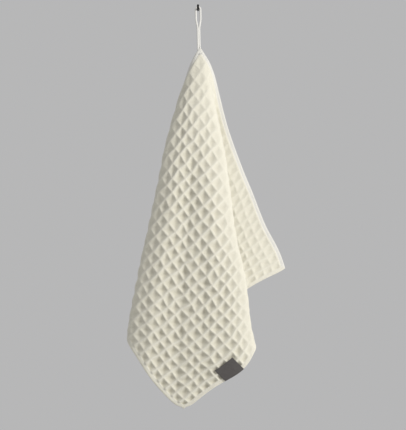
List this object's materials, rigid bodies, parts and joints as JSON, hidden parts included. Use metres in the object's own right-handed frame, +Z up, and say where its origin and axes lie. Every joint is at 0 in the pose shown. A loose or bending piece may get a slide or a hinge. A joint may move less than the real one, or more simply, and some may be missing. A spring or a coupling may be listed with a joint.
{
  "type": "bar towel and wall hook",
  "caption": "Cream waffle-weave bar towel hung by a corner on its cord loop from a small black wall hook, with a small dark label on its hem.",
  "frame": {"origin": "centre of the hook's flat end, which lies on the wall", "axes": "+Z up, +Y into the wall, +X to the right for someone facing the towel"},
  "size_m": [0.2686, 0.0692, 0.6775],
  "materials": {
    "waffle_cotton": "matt",
    "cotton_cord": "matt",
    "woven_label": "matt",
    "black_paint": "satin"
  },
  "bodies": {
    "root": {"towel": "waffle_cotton", "hanging_loop": "cotton_cord", "label": "woven_label", "wall_hook": "black_paint"}
  },
  "joints": []
}
